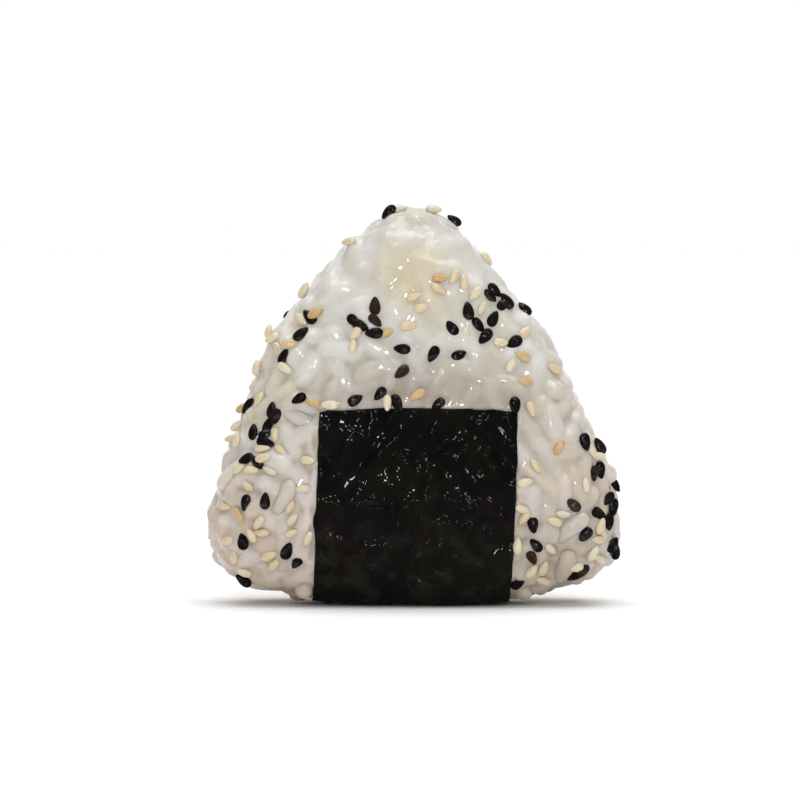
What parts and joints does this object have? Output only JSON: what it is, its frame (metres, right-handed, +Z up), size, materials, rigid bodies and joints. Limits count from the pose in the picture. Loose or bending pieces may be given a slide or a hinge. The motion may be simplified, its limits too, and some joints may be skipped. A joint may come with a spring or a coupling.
{
  "type": "onigiri",
  "caption": "Rice ball pressed into a rounded triangle, rolled in black and white sesame, with a strip of nori folded up both faces from the base.",
  "frame": {"origin": "middle of the part's box at its lowest point: on the table, under the folded nori", "axes": "+Z up to the apex, +Y from the front face to the back face, +X to the right seen from the front"},
  "size_m": [0.0706, 0.031, 0.068],
  "materials": {
    "rice": "moist translucent grains, soft sheen",
    "nori": "moist, glossy, finely wrinkled",
    "black_sesame": "smooth seed coat, satin",
    "white_sesame": "smooth toasted seed coat, satin"
  },
  "bodies": {
    "root": {"rice_ball": "rice", "nori": "nori"}
  },
  "joints": []
}
